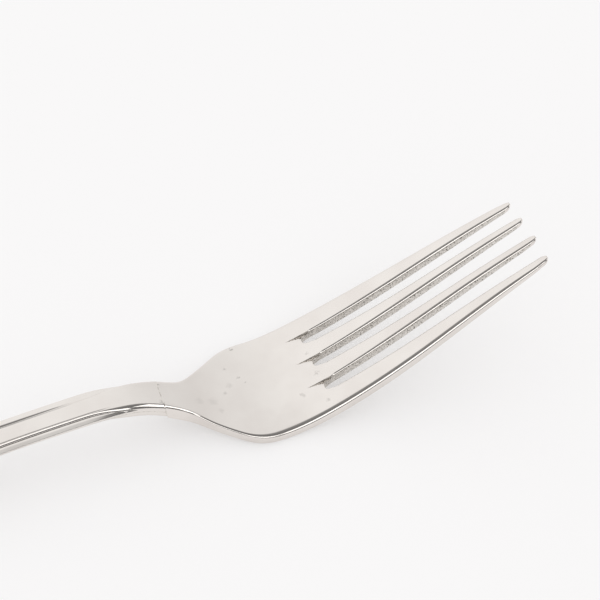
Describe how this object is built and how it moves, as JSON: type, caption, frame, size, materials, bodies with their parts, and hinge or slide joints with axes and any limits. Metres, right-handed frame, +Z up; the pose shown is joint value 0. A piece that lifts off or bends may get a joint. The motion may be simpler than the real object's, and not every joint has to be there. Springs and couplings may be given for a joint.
{
  "type": "dinner fork",
  "caption": "Polished steel dinner fork with tapering tines, a shallow curved bowl, a slim neck and a hollow handle with thread lines along its border.",
  "frame": {"origin": "on the table, under the middle of the fork's length and width", "axes": "+X along the fork towards the tine tips, +Y to the fork's left, +Z up, with the fork lying front up"},
  "size_m": [0.205, 0.0262, 0.0277],
  "materials": {
    "head_steel": "stainless steel, mirror polished, with die-cut slot walls",
    "handle_steel": "stainless steel sheet, pressed and mirror polished",
    "filler_resin": "hard filled resin, cast in place",
    "solder": "silver solder, filed flush and polished"
  },
  "bodies": {
    "root": {"fork_head": "head_steel", "handle_front_shell": "handle_steel", "handle_back_shell": "handle_steel", "handle_filler": "filler_resin", "neck_solder_seam": "solder", "side_solder_seam": "solder"}
  },
  "joints": []
}
